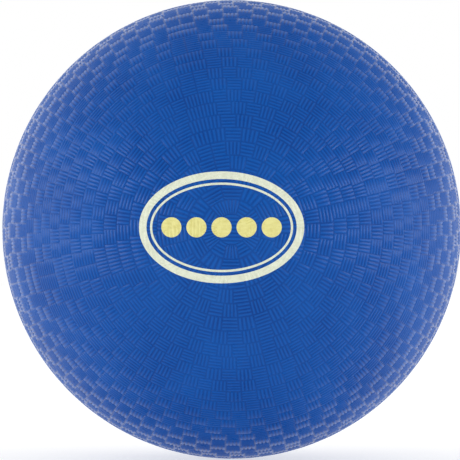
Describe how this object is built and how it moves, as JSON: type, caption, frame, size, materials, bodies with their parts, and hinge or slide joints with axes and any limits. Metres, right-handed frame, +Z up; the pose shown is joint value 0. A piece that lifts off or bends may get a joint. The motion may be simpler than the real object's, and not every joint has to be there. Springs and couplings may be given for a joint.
{
  "type": "dodgeball",
  "caption": "Inflatable rubber dodgeball with a moulded basket-weave grip, a self-sealing needle valve on a smooth land, and a thread-wound air bladder inside.",
  "frame": {"origin": "centre of the ball", "axes": "+Y along the needle valve, out of its mouth; -Y through the middle of the printed side; +Z up as the print reads; the mould's parting line lies in the plane Y = 0"},
  "size_m": [0.2162, 0.2158, 0.2162],
  "materials": {
    "cover_rubber": "blue moulded rubber, semi-gloss, basket-weave texture",
    "winding_nylon": "natural nylon thread, wound in great circles and cemented",
    "bladder_rubber": "black butyl rubber, matt with talc",
    "valve_rubber": "black moulded rubber, satin",
    "core_rubber": "dark grey soft rubber, satin"
  },
  "bodies": {
    "root": {"cover": "cover_rubber", "nylon_winding": "winding_nylon", "bladder": "bladder_rubber", "valve_housing": "valve_rubber", "valve_core": "core_rubber"}
  },
  "joints": []
}
